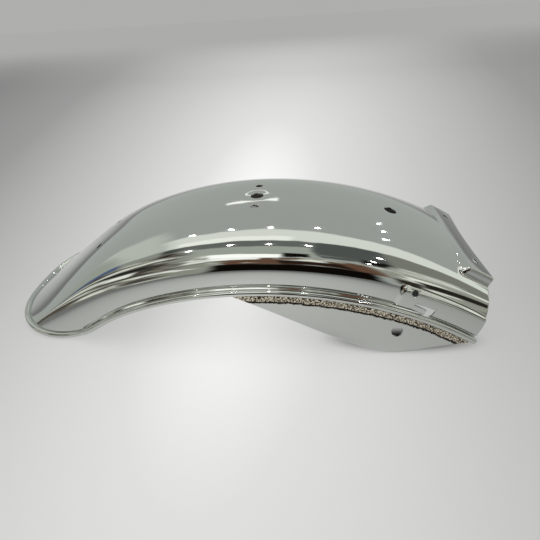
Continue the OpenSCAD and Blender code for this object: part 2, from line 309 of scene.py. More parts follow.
@dataclass
class Blank:
    """A flat sheet blank: a grid of points with pierced openings, closed round every edge."""

    grid: np.ndarray
    thickness: float
    openings: list[Opening] = field(default_factory=list)
    rise: Callable[[np.ndarray], np.ndarray] | None = None
    edge_radius: float = 0.3 * MM
    ring_count: int = 5
    ring_crowd: float = 1.5
    edge_angles: tuple[float, ...] = (30, 60, 90)

    def __post_init__(self) -> None:
        """Lays out both skins of the grid before any opening is pierced."""
        rows, columns = self.grid.shape[:2]
        flat = self.grid.reshape(-1, 2)
        self.outer_ids = np.arange(rows * columns).reshape(rows, columns)
        self.inner_ids = self.outer_ids + rows * columns
        self.points = [self._lifted(flat, 0), self._lifted(flat, -self.thickness)]
        self.count = 2 * rows * columns
        self.faces: list[np.ndarray] = []
        self.inner: list[np.ndarray] = []

    def _lifted(self, flat: np.ndarray, depth: float | np.ndarray) -> np.ndarray:
        """Returns flat points as points in space, at a depth below the shaped outer skin."""
        height = np.zeros(len(flat)) + depth
        if self.rise is not None:
            height = height + self.rise(flat)
        for opening in self.openings:
            height = height - opening.dip(flat)
        return np.column_stack([flat, height])

    def _stitch(self, rings: list[np.ndarray], inner: list[bool]) -> None:
        """Joins each ring of point numbers to the next one with quads."""
        for first, second, is_inner in zip(rings, rings[1:], inner):
            quads = np.column_stack([first, np.roll(first, -1), np.roll(second, -1), second])
            self.faces.append(quads)
            self.inner.append(np.full(len(quads), is_inner))

    def _close(self, outer_loop: np.ndarray, inner_loop: np.ndarray, opening: Opening | None) -> None:
        """Runs from a loop of the outer skin, over a rounded cut edge, to the inner skin's loop.

        Args:
            outer_loop: point numbers on the outer skin, with the void on their left.
            inner_loop: the matching point numbers on the inner skin.
            opening: the opening inside the loop, or None along the blank's own edge.
        """
        start = np.vstack(self.points)[outer_loop, :2]
        flat_rings: list[np.ndarray] = []
        if opening is None:
            edge = start
            tangent = np.roll(start, -1, 0) - np.roll(start, 1, 0)
            void = np.column_stack([-tangent[:, 1], tangent[:, 0]])
            void /= np.linalg.norm(void, axis=1, keepdims=True)
        else:
            middle = np.array([opening.along, opening.across])
            angle = np.arctan2(start[:, 1] - middle[1], start[:, 0] - middle[0])
            outward = np.column_stack([np.cos(angle), np.sin(angle)])
            edge = middle + outward * (opening.reach(angle) + self.edge_radius)[:, None]
            void = -outward
            for k in range(1, self.ring_count + 1):
                share = 1 - (1 - k / self.ring_count) ** self.ring_crowd
                flat_rings.append(start + (edge - start) * share)
        rounds = []
        for angle in map(math.radians, self.edge_angles):
            ring = edge + void * self.edge_radius * math.sin(angle)
            rounds.append((ring, self.edge_radius * (1 - math.cos(angle))))
        down = [self._lifted(ring, 0) for ring in flat_rings]
        down += [self._lifted(ring, -depth) for ring, depth in rounds]
        up = [self._lifted(ring, depth - self.thickness) for ring, depth in reversed(rounds)]
        up += [self._lifted(ring, -self.thickness) for ring in reversed(flat_rings)]
        rings = [outer_loop]
        for ring in down + up:
            rings.append(np.arange(self.count, self.count + len(ring)))
            self.points.append(ring)
            self.count += len(ring)
        rings.append(inner_loop)
        self._stitch(rings, [k > len(down) for k in range(len(rings) - 1)])

    def _loop(self, ids: np.ndarray, block: tuple[int, int, int, int]) -> np.ndarray:
        """Returns the point numbers round a block of the grid, anticlockwise from above."""
        low_row, high_row, low_column, high_column = block
        return np.concatenate([
            ids[low_row:high_row, low_column],
            ids[high_row, low_column:high_column],
            ids[high_row:low_row:-1, high_column],
            ids[low_row, high_column:low_column:-1],
        ])

    def mesh(self, name: str) -> bpy.types.Mesh:
        """Pierces the openings, closes the edges and returns the blank as a mesh.

        Args:
            name: name of the mesh.

        Returns:
            A closed mesh with the attributes inner_face, blank_id and from_middle, the distance across.
        """
        rows, columns = self.outer_ids.shape
        whole = np.ones((rows - 1, columns - 1), bool)
        for opening in self.openings:
            offset = np.abs(self.grid - (opening.along, opening.across))
            near = (offset[..., 0] < opening.half_along + opening.margin) & (
                offset[..., 1] < opening.half_across + opening.margin
            )
            block_rows, block_columns = np.where(near.any(1))[0], np.where(near.any(0))[0]
            block = (block_rows[0], block_rows[-1], block_columns[0], block_columns[-1])
            whole[block[0]:block[1], block[2]:block[3]] = False
            self._close(self._loop(self.outer_ids, block), self._loop(self.inner_ids, block), opening)
        border = (0, rows - 1, 0, columns - 1)
        outer_loop, inner_loop = (self._loop(ids, border)[::-1] for ids in (self.outer_ids, self.inner_ids))
        self._close(outer_loop, inner_loop, None)
        for ids, is_inner in ((self.outer_ids, False), (self.inner_ids, True)):
            corners = [ids[:-1, :-1], ids[1:, :-1], ids[1:, 1:], ids[:-1, 1:]]
            quads = np.column_stack([corner[whole] for corner in corners])
            self.faces.append(quads[:, ::-1] if is_inner else quads)
            self.inner.append(np.full(len(quads), is_inner))
        points, faces = np.vstack(self.points), np.vstack(self.faces)
        used, faces = np.unique(faces, return_inverse=True)
        mesh = bpy.data.meshes.new(name)
        mesh.from_pydata(points[used].tolist(), [], faces.reshape(-1, 4).tolist())
        for label, kind, domain, values in (
            ("inner_face", "BOOLEAN", "FACE", np.concatenate(self.inner)),
            ("from_middle", "FLOAT", "POINT", np.abs(points[used, 1])),
            ("blank_id", "INT", "POINT", used),
        ):
            mesh.attributes.new(label, kind, domain).data.foreach_set("value", values)
        mesh.update()
        return mesh


def graded(count: int, low: float, high: float, crowd: Callable[[np.ndarray], np.ndarray]) -> np.ndarray:
    """Spreads positions from low to high, closer together where crowd is greater.

    Args:
        count: number of steps.
        low: first position.
        high: last position.
        crowd: how close the positions stand, as a function of place.

    Returns:
        The positions, one more than the steps.
    """
    fine = np.linspace(low, high, 4001)
    density = crowd(fine)
    total = np.concatenate([[0], np.cumsum((density[1:] + density[:-1]) / 2)])
    return np.interp(np.linspace(0, total[-1], count + 1), total, fine)


def bell(place: np.ndarray, middle: float, width: float) -> np.ndarray:
    """Returns a bell curve of height 1 about a middle."""
    return np.exp(-(((place - middle) / width) ** 2))


@dataclass
class Shape:
    """Driving sizes of the pressed shell, the same as the CAD part's."""

    sheet_t: float = 1.2 * MM
    crown_r: float = 350 * MM
    half_w: float = 74 * MM
    crown_h: float = 40.4 * MM
    flank_straight: float = 1.4 * MM
    flank_lean: float = 1.2 * MM
    squareness: float = 2.7
    tail_angle: float = 41.9
    tail_round: float = 15
    tail_hollow: float = 4.6 * MM
    flare_span: float = 23.4
    front_angle: float = 30.8
    front_lean: float = 3
    roll_r: float = 2.6 * MM
    roll_out: float = 0.5 * MM
    rest_lean: float = -1.04061
    section_points: int = 400
    foot_share: float = 0.04

    def section(self) -> np.ndarray:
        """Returns points of the right-angled half section, from the crown line to the roll."""
        t = np.linspace(0, 1 + self.foot_share, self.section_points)
        turn = np.radians(90 * np.minimum(t, 1))
        foot = np.maximum(t - 1, 0) / self.foot_share
        power = 2 / self.squareness
        across = self.half_w * np.sin(turn) ** power + self.flank_lean * foot
        up = self.crown_h * (np.maximum(np.cos(turn), 0) ** power - 1) - self.flank_straight * foot
        return np.column_stack([across, up])

    @property
    def half_run(self) -> float:
        """Length of the half section, from the crown line to the rolled edge."""
        return float(np.linalg.norm(np.diff(self.section(), axis=0), axis=1).sum())

    @property
    def flank_depth(self) -> float:
        """Depth from the crown line down to the rolled edge."""
        return self.crown_h + self.flank_straight

    @property
    def bead_middle(self) -> tuple[float, float]:
        """Distance across and distance from the axle of the middle of the rolled edge."""
        foot = math.atan2(self.flank_lean, self.flank_straight)
        off, out = self.roll_r, self.roll_out
        return (
            self.half_w + self.flank_lean + off * math.sin(foot) + out * math.cos(foot),
            self.crown_r - self.flank_depth - off * math.cos(foot) + out * math.sin(foot),
        )

    def arc(self, angle: float | np.ndarray) -> float | np.ndarray:
        """Returns the length along the crown line for an angle about the axle."""
        return np.radians(angle) * self.crown_r

    def degrees_of(self, length: float) -> float:
        """Returns the angle that a length along the crown line takes up."""
        return math.degrees(length / self.crown_r)

    def tail_border(self, run: np.ndarray) -> np.ndarray:
        """Returns the angle of the round tail edge at a run across the section."""
        share = np.clip(run / self.half_run, -1, 1)
        return -self.tail_angle + self.tail_round * (1 - np.sqrt(1 - share**2))

    def front_border(self, run: np.ndarray | float) -> np.ndarray | float:
        """Returns the angle of the front edge at a run across the section."""
        return self.front_angle + self.front_lean * (run / self.half_run) ** 2

    def run_at(self, across: float) -> float:
        """Returns the run from the crown line to a distance across the section."""
        points = self.section()
        runs = np.concatenate([[0], np.cumsum(np.linalg.norm(np.diff(points, axis=0), axis=1))])
        return float(np.interp(across, points[:, 0], runs))


@dataclass
class Sheet:
    """The crown, shoulders and flanks, pressed from one pierced blank, with their clip tongue."""

    shape: Shape
    main_hole_d: float = 10.8 * MM
    fwd_hole_angle: float = 18.7
    side_hole_d: float = 6.4 * MM
    side_hole_y: float = 20.4 * MM
    tail_hole_d: float = 6.4 * MM
    tail_hole_angle: float = 24.3
    tail_hole_y: float = 22 * MM
    front_hole_d: float = 6 * MM
    front_hole_y: float = 37 * MM
    front_hole_edge: float = 8.5 * MM
    hole_dish: float = 0.5 * MM
    strip_len: float = 24 * MM
    strip_half_w: float = 56 * MM
    strip_step: float = 5 * MM
    strip_ease: float = 1.5
    pad_start: float = 20.2
    pad_lift: float = 1.6 * MM
    pad_top: float = 20 * MM
    pad_bottom: float = 3 * MM
    pad_ease_before: float = 0.6
    pad_ease_after: float = 0.2
    pad_top_ease: float = 4 * MM
    pad_bottom_ease: float = 2 * MM
    pad_hole_d: float = 5 * MM
    pad_hole_angle: float = 21.7
    pad_hole_up: float = 16 * MM
    window_len: float = 17 * MM
    window_h: float = 8.6 * MM
    window_angle: float = 24
    window_up: float = 0.6 * MM
    window_squareness: float = 9
    tongue_len: float = 9.5 * MM
    tongue_gap: float = 2.4 * MM
    tongue_rise: float = 0.8 * MM
    tongue_lift: float = 1.8 * MM
    tongue_curl: float = 1.3
    tongue_root: float = 2
    tongue_rows: int = 24
    tongue_columns: int = 16
    split_angle: float = -8
    tail_rows: int = 104
    front_rows: int = 146
    columns: int = 176
    last_column_angle: float = 86
    edge_turn: float = 29
    edge_turn_w: float = 3.5
    edge_crowd: float = 0.9
    front_crowd_from: float = 0.62
    front_crowd: float = 2.4
    step_row: float = 0.7
    step_row_w: float = 0.05
    step_crowd: float = 2

    def openings(self) -> list[Opening]:
        """Returns every opening of the blank, with its place in flat coordinates."""
        shape = self.shape
        front_run = shape.run_at(self.front_hole_y)
        front_angle = shape.front_border(front_run) - shape.degrees_of(self.front_hole_edge)
        flank_scale = 1 - shape.flank_depth / shape.crown_r
        main_r = self.main_hole_d / 2
        holes = [
            Opening(0, 0, main_r, main_r, dish=self.hole_dish),
            Opening(shape.arc(self.fwd_hole_angle), 0, main_r, main_r),
        ]
        for side in (-1, 1):
            for angle, run, diameter in (
                (0, shape.run_at(self.side_hole_y), self.side_hole_d),
                (-self.tail_hole_angle, shape.run_at(self.tail_hole_y), self.tail_hole_d),
                (front_angle, front_run, self.front_hole_d),
            ):
                holes.append(Opening(shape.arc(angle), side * run, diameter / 2, diameter / 2))
        pad_r = self.pad_hole_d / 2
        holes.append(Opening(
            shape.arc(self.pad_hole_angle), self.pad_hole_up - shape.half_run, pad_r / flank_scale, pad_r,
            margin=1.6 * MM,
        ))
        holes.append(Opening(
            shape.arc(self.window_angle), self.window_up + self.window_h / 2 - shape.half_run,
            self.window_len / 2 / flank_scale, self.window_h / 2, squareness=self.window_squareness,
            margin=0.4 * MM,
        ))
        return holes

    def blank(self) -> Blank:
        """Returns the flat blank of the sheet, with its rows closer together at the front relief."""
        shape = self.shape
        turn = graded(
            self.columns, -self.last_column_angle, self.last_column_angle,
            lambda a: 1 + self.edge_crowd * bell(np.abs(a), self.edge_turn, self.edge_turn_w),
        )
        run = shape.half_run * np.sin(np.radians(turn)) / math.sin(math.radians(self.last_column_angle))
        edge = shape.degrees_of(Blank.edge_radius)
        back = shape.tail_border(run)
        front = shape.front_border(run) - edge
        tail_share = np.linspace(0, 1, self.tail_rows + 1)[:-1, None]
        front_share = graded(
            self.front_rows, 0, 1,
            lambda s: 1 + self.front_crowd * (s > self.front_crowd_from)
            + self.step_crowd * bell(s, self.step_row, self.step_row_w),
        )[:, None]
        angle = np.vstack([
            back + tail_share * (self.split_angle - back),
            self.split_angle + front_share * (front - self.split_angle),
        ])
        grid = np.stack([shape.arc(angle), np.broadcast_to(run, angle.shape)], -1)
        return Blank(grid, shape.sheet_t, self.openings())

    def tongue_blank(self) -> Blank:
        """Returns the flat blank of the tongue, which rises forward from the window's rear border."""
        shape = self.shape
        flank_scale = 1 - shape.flank_depth / shape.crown_r
        rear = shape.arc(self.window_angle) - self.window_len / 2 / flank_scale
        root = self.tongue_root * shape.sheet_t
        low = self.window_up + self.tongue_rise - shape.half_run
        high = self.window_up + self.window_h - self.tongue_gap - shape.half_run
        along = np.linspace(rear - root, rear + self.tongue_len / flank_scale, self.tongue_rows + 1)
        across = np.linspace(low, high, self.tongue_columns + 1)
        grid = np.stack(np.meshgrid(along, across, indexing="ij"), -1)

        def rise(flat: np.ndarray) -> np.ndarray:
            """Returns how far the tongue stands out at each flat point."""
            share = np.clip((flat[:, 0] - rear) / (self.tongue_len / flank_scale), 0, 1)
            return self.tongue_lift * share**self.tongue_curl

        return Blank(grid, shape.sheet_t, rise=rise)

    def press(self) -> Tree:
        """Returns the tree that presses a flat blank to the shell's double curved form."""
        shape = self.shape
        strip_start = shape.front_angle - shape.degrees_of(self.strip_len)
        tool = Tree("press_tool", {
            "crown_r": shape.crown_r,
            "half_w": shape.half_w,
            "crown_h": shape.crown_h,
            "power": 2 / shape.squareness,
            "flank_lean": shape.flank_lean,
            "flank_straight": shape.flank_straight,
            "tail_angle": shape.tail_angle,
            "tail_hollow": shape.tail_hollow,
            "flare_span": shape.flare_span,
            "strip_start": strip_start,
            "strip_end": strip_start + shape.degrees_of(self.strip_step * self.strip_ease),
            "strip_in": self.strip_half_w - self.strip_step,
            "strip_out": self.strip_half_w,
            "pad_start": self.pad_start - self.pad_ease_before,
            "pad_end": self.pad_start + self.pad_ease_after,
            "pad_lift": self.pad_lift,
            "pad_low": self.pad_bottom - self.pad_bottom_ease,
            "pad_low_end": self.pad_bottom,
            "pad_high": self.pad_top - self.pad_top_ease,
            "pad_high_end": self.pad_top,
            "half_run": shape.half_run,
            "lean": shape.rest_lean,
        })
        tree = tool.tree
        known = tool.known()
        known["index"] = add_node(tree, "GeometryNodeInputIndex").outputs[0]
        add_rule(tree, known, [
            ("t", "MULTIPLY", "index", (1 + shape.foot_share) / (shape.section_points - 1)),
            ("t_main", "MINIMUM", "t", 1.0),
            ("turn", "MULTIPLY", "t_main", math.pi / 2),
            ("sine", "SINE", "turn"),
            ("cosine", "COSINE", "turn"),
            ("cosine_up", "MAXIMUM", "cosine", 0.0),
            ("sine_power", "POWER", "sine", "power"),
            ("cosine_power", "POWER", "cosine_up", "power"),
            ("t_foot", "SUBTRACT", "t", 1.0),
            ("t_over", "MAXIMUM", "t_foot", 0.0),
            ("foot", "DIVIDE", "t_over", shape.foot_share),
            ("foot_out", "MULTIPLY", "foot", "flank_lean"),
            ("foot_down", "MULTIPLY", "foot", "flank_straight"),
            ("across", "MULTIPLY_ADD", "sine_power", "half_w", "foot_out"),
            ("drop", "SUBTRACT", 1.0, "cosine_power"),
            ("down", "MULTIPLY_ADD", "drop", "crown_h", "foot_down"),
            ("up", "MULTIPLY", "down", -1.0),
            ("section", "POINT", 0.0, "across", "up"),
            ("run", "ABSOLUTE", "flat_y"),
            ("side", "SIGN", "flat_y"),
        ])
        line = add_node(tree, "GeometryNodeMeshLine", {"Count": shape.section_points})
        half = add_node(
            tree, "GeometryNodeSetPosition", {"Geometry": line.outputs[0], "Position": known["section"]}
        )
        section = add_node(tree, "GeometryNodeMeshToCurve", {"Mesh": half.outputs[0]})
        sample = add_node(
            tree, "GeometryNodeSampleCurve",
            {"Curves": section.outputs[0], "Length": known["run"]}, mode="LENGTH",
        )
        known |= {"section_point": sample.outputs["Position"], "section_tangent": sample.outputs["Tangent"]}
        add_rule(tree, known, [
            ("point", "SPLIT", "section_point"),
            ("tangent", "SPLIT", "section_tangent"),
            ("angle_r", "DIVIDE", "flat_x", "crown_r"),
            ("angle", "DEGREES", "angle_r"),
            ("tail_gap", "ADD", "tail_angle", "angle"),
            ("tail_rest", "SUBTRACT", "flare_span", "tail_gap"),
            ("u_raw", "DIVIDE", "tail_rest", "flare_span"),
            ("u_low", "MAXIMUM", "u_raw", 0.0),
            ("u", "MINIMUM", "u_low", 1.0),
            ("u_rest", "SUBTRACT", 1.0, "u"),
            ("u_square", "MULTIPLY", "u", "u"),
            ("u_form", "MULTIPLY", "u_square", "u_rest"),
            ("u_scaled", "MULTIPLY", "u_form", -1 / HOLLOW_PEAK),
            ("flare", "MULTIPLY", "u_scaled", "tail_hollow"),
            ("strip_on", "EASE", "angle", "strip_start", "strip_end"),
            ("strip_off", "EASE", "run", "strip_in", "strip_out"),
            ("strip_width", "SUBTRACT", 1.0, "strip_off"),
            ("strip_share", "MULTIPLY", "strip_on", "strip_width"),
            ("strip_rise", "MULTIPLY", "strip_share", "point_z"),
            ("height", "SUBTRACT", "half_run", "run"),
            ("pad_on", "EASE", "angle", "pad_start", "pad_end"),
            ("pad_bottom", "EASE", "height", "pad_low", "pad_low_end"),
            ("pad_over", "EASE", "height", "pad_high", "pad_high_end"),
            ("pad_top", "SUBTRACT", 1.0, "pad_over"),
            ("pad_a", "MULTIPLY", "pad_on", "pad_bottom"),
            ("pad_b", "MULTIPLY", "pad_a", "pad_top"),
            ("pad_rise", "MULTIPLY", "pad_b", "pad_lift"),
            ("relief", "SUBTRACT", "pad_rise", "strip_rise"),
            ("lift", "ADD", "relief", "flat_z"),
            ("normal_y", "MULTIPLY", "tangent_z", -1.0),
            ("y_out", "MULTIPLY_ADD", "normal_y", "lift", "point_y"),
            ("y_end", "MULTIPLY", "y_out", "side"),
            ("z_out", "MULTIPLY_ADD", "tangent_y", "lift", "point_z"),
            ("z_flare", "ADD", "z_out", "flare"),
            ("radius", "ADD", "z_flare", "crown_r"),
            ("leaned_d", "ADD", "angle", "lean"),
            ("leaned", "RADIANS", "leaned_d"),
        ])
        tool.bend(known)
        return tool

    def border(self, sheet: bpy.types.Object) -> tuple[np.ndarray, np.ndarray]:
        """Finds the pressed sheet's border from the front right corner round the tail to the left.

        Args:
            sheet: the pressed sheet, whose blank_id attribute tells each point's place in the grid.

        Returns:
            The border's points on the outer skin and on the inner skin.
        """
        rows = self.tail_rows + self.front_rows + 1
        columns = self.columns + 1
        ids = np.arange(rows * columns).reshape(rows, columns)
        order = np.concatenate([ids[:0:-1, 0], ids[0, :], ids[1:, -1]])
        mesh = sheet.data
        blank_ids = np.zeros(len(mesh.vertices), np.int32)
        mesh.attributes["blank_id"].data.foreach_get("value", blank_ids)
        places = mesh_points(mesh)
        outer, inner = (np.searchsorted(blank_ids, order + skin * rows * columns) for skin in (0, 1))
        return places[outer], places[inner]


@dataclass
class RolledEdge:
    """The edge rolled to a bead along both flanks and round the tail."""

    shape: Shape
    step: float = 1.4 * MM
    sides: int = 24

    def path(self, outer: np.ndarray, inner: np.ndarray) -> bpy.types.Mesh:
        """Returns the bead's centre line as a chain of edges.

        Args:
            outer: border points on the outer skin of the sheet.
            inner: the matching points on the inner skin.
        """
        along = np.gradient(outer, axis=0)
        off = np.cross(outer - inner, along)
        off /= np.linalg.norm(off, axis=1, keepdims=True)
        out = np.cross(along, off)
        out /= np.linalg.norm(out, axis=1, keepdims=True)
        centre = outer + off * self.shape.roll_r + out * self.shape.roll_out
        mesh = bpy.data.meshes.new("bead_line")
        mesh.from_pydata(centre.tolist(), [(k, k + 1) for k in range(len(centre) - 1)], [])
        return mesh

    def roller(self) -> Tree:
        """Returns the tree that rolls a round bead along a line."""
        tool = Tree("edge_roller", {"bead_r": self.shape.roll_r, "bead_step": self.step})
        tree = tool.tree
        line = add_node(tree, "GeometryNodeMeshToCurve", {"Mesh": tool.start.outputs["Geometry"]})
        even = add_node(
            tree, "GeometryNodeResampleCurve",
            {"Curve": line.outputs[0], "Length": tool.start.outputs["bead_step"]}, mode="LENGTH",
        )
        circle = add_node(
            tree, "GeometryNodeCurvePrimitiveCircle",
            {"Resolution": self.sides, "Radius": tool.start.outputs["bead_r"]},
        )
        bead = add_node(
            tree, "GeometryNodeCurveToMesh",
            {"Curve": even.outputs[0], "Profile Curve": circle.outputs[0], "Fill Caps": True},
        )
        tool.end(bead.outputs[0])
        return tool


class Side(Enum):
    """The two sides of the mudguard, with the sign of Y."""

    LEFT = 1.0
    RIGHT = -1.0


@dataclass
class Wing:
    """A side wing: it steps out from under the rolled edge to a ledge and bends down to a skirt."""

    shape: Shape
    side: Side
    start: float = -3.6
    peak: float = 20
    width: float = 35.5 * MM
    slope: float = 82
    joggle_r: float = 1.5 * MM
    joggle_slope: float = 20
    ledge_r: float = 2.4 * MM
    bend: float = 0.5 / MM
    root_in: float = 0.8
    root_down: float = 0.3
    least_width: float = 0.6
    growth: float = 0.9
    hole_d: float = 8.8 * MM
    hole_angle: float = 22.2
    hole_out: float = 14.5 * MM
    rows: int = 170
    columns: int = 64
    fold_share: float = 0.2
    fold_crowd: float = 2.6

    @property
    def end(self) -> float:
        """Angle of the wing's front end."""
        return self.shape.front_angle + self.shape.front_lean

    @property
    def root(self) -> tuple[float, float]:
        """Distance across and distance from the axle where the wing starts, inside the rolled edge."""
        across, radius = self.shape.bead_middle
        return across - self.shape.roll_r * self.root_in, radius - self.shape.roll_r * self.root_down

    def arcs(self) -> list[tuple[float, float, float]]:
        """Returns each arc of the wing's section: slope at its start, change over a metre, length."""
        joggle = -math.degrees(1 / self.joggle_r)
        ledge = math.degrees(1 / self.ledge_r)
        return [
            (90, joggle, (self.joggle_slope - 90) / joggle),
            (self.joggle_slope, ledge, (self.slope - self.joggle_slope) / ledge),
            (self.slope, -self.bend, 2 * self.width),
        ]

    def drop_at(self, run: float) -> float:
        """Returns how far the wing's section comes down from its root over a run."""
        drop = 0.0
        for slope, rate, length in self.arcs():
            here = min(max(run, 0), length)
            turned = math.radians(slope + rate * here)
            drop += (math.cos(math.radians(slope)) - math.cos(turned)) / math.radians(rate)
            run -= length
        return drop

    def width_at(self, angle: np.ndarray) -> np.ndarray:
        """Returns the wing's width across its curve at angles about the axle."""
        rise = np.radians(90 * (angle - self.start) / (self.peak - self.start))
        fall = np.radians(90 * (angle - self.peak) / (self.end - self.peak))
        rising = np.sin(np.clip(rise, 0, math.pi / 2)) ** self.growth
        grown = np.where(angle < self.peak, rising, np.cos(fall))
        return self.shape.roll_r * self.least_width + self.width * grown

    def blank(self) -> Blank:
        """Returns the wing's flat blank with its hole."""
        root_r = self.root[1]
        edge = Blank.edge_radius
        edge_angle = math.degrees(edge / root_r)
        angle = np.linspace(self.start + edge_angle, self.end - edge_angle, self.rows + 1)
        share = graded(self.columns, 0, 1, lambda s: 1 + self.fold_crowd * (s < self.fold_share))
        if self.side is Side.RIGHT:
            share = share[::-1]
        across = self.side.value * (edge + (self.width_at(angle)[:, None] - 2 * edge) * share)
        along = np.broadcast_to((np.radians(angle) * root_r)[:, None], across.shape)
        run = self.shape.roll_r + self.hole_out
        stretch = root_r / (root_r - self.drop_at(run))
        hole = Opening(
            math.radians(self.hole_angle) * root_r, self.side.value * run,
            self.hole_d / 2 * stretch, self.hole_d / 2, margin=2.4 * MM,
        )
        return Blank(np.stack([along, across], -1), self.shape.sheet_t, [hole])

    def folder(self) -> Tree:
        """Returns the tree that folds a flat blank through the arcs and along the wheel's curve."""
        root_y, root_r = self.root
        sizes = {
            "side": self.side.value, "root_y": root_y, "root_r": root_r,
            "lean": math.radians(self.shape.rest_lean),
        }
        arcs = self.arcs()
        for k, (slope, rate, length) in enumerate(arcs):
            sizes |= {f"from_{k}": math.radians(slope), f"rate_{k}": math.radians(rate)}
            sizes[f"length_{k}"] = length
        tool = Tree("wing_folder", sizes)
        tree = tool.tree
        known = tool.known()
        known |= {"across_0": known["root_y"], "radius_0": known["root_r"], "slope_0": known["from_0"]}
        add_rule(tree, known, [("rest_0", "MULTIPLY", "flat_y", "side")])
        for k in range(len(arcs)):
            add_rule(tree, known, [
                ("reach", "MAXIMUM", f"rest_{k}", 0.0),
                ("run", "MINIMUM", "reach", f"length_{k}"),
                ("turn", "MULTIPLY", "run", f"rate_{k}"),
                ("turned", "ADD", f"from_{k}", "turn"),
                ("sine", "SINE", "turned"),
                ("first_sine", "SINE", f"from_{k}"),
                ("cosine", "COSINE", "turned"),
                ("first_cosine", "COSINE", f"from_{k}"),
                ("sine_step", "SUBTRACT", "sine", "first_sine"),
                ("cosine_step", "SUBTRACT", "cosine", "first_cosine"),
                ("out", "DIVIDE", "sine_step", f"rate_{k}"),
                ("up", "DIVIDE", "cosine_step", f"rate_{k}"),
                (f"across_{k + 1}", "ADD", f"across_{k}", "out"),
                (f"radius_{k + 1}", "ADD", f"radius_{k}", "up"),
                (f"slope_{k + 1}", "ADD", f"slope_{k}", "turn"),
                (f"rest_{k + 1}", "SUBTRACT", f"rest_{k}", f"length_{k}"),
            ])
        last = len(arcs)
        add_rule(tree, known, [
            ("normal_y", "SINE", f"slope_{last}"),
            ("normal_r", "COSINE", f"slope_{last}"),
            ("across", "MULTIPLY_ADD", "normal_y", "flat_z", f"across_{last}"),
            ("radius", "MULTIPLY_ADD", "normal_r", "flat_z", f"radius_{last}"),
            ("y_end", "MULTIPLY", "across", "side"),
            ("angle", "DIVIDE", "flat_x", "root_r"),
            ("leaned", "ADD", "angle", "lean"),
        ])
        tool.bend(known)
        return tool


def mesh_points(mesh: bpy.types.Mesh) -> np.ndarray:
    """Returns the points of a mesh as an array."""
    points = np.zeros(len(mesh.vertices) * 3, np.float32)
    mesh.vertices.foreach_get("co", points)
    return points.reshape(-1, 3).astype(float)


@dataclass(frozen=True)
class ChromePlate:
    """Chrome-plated steel: nickel and chrome on polished sheet, a near mirror with a cold grey tint.

    Polishing leaves slow ripples in the thin sheet, and wiping leaves faint cloudy marks.
    """

    name: str = "chrome_plated_steel"
    colour: str = "#C6C8C5"
    roughness: float = 0.045
    cloud_roughness: float = 0.03
    ripple_size: float = 28 * MM
    ripple_height: float = 0.016 * MM
    ripple_detail: float = 1.5
    cloud_size: float = 9 * MM
    cloud_detail: float = 4
    haze_from: float = 0.5
    haze_to: float = 0.75

    def material(self) -> bpy.types.Material:
        """Returns the finish as a material."""
        material = bpy.data.materials.new(self.name)
        material.use_nodes = True
        tree = material.node_tree
        shader = tree.nodes["Principled BSDF"]
        shader.inputs["Base Color"].default_value = linear(self.colour)
        shader.inputs["Metallic"].default_value = 1
        known = {"place": add_node(tree, "ShaderNodeTexCoord").outputs["Object"]}
        add_rule(tree, known, [
            ("cloud", "NOISE", "place", 1 / self.cloud_size, self.cloud_detail),
            ("haze", "EASE", "cloud", self.haze_from, self.haze_to),
            ("dull", "MULTIPLY_ADD", "haze", self.cloud_roughness, self.roughness),
            ("wave", "NOISE", "place", 1 / self.ripple_size, self.ripple_detail),
            ("rippled", "BUMP", "wave", self.ripple_height, 1.0),
        ])
        tree.links.new(known["dull"], shader.inputs["Roughness"])
        tree.links.new(known["rippled"], shader.inputs["Normal"])
        return material


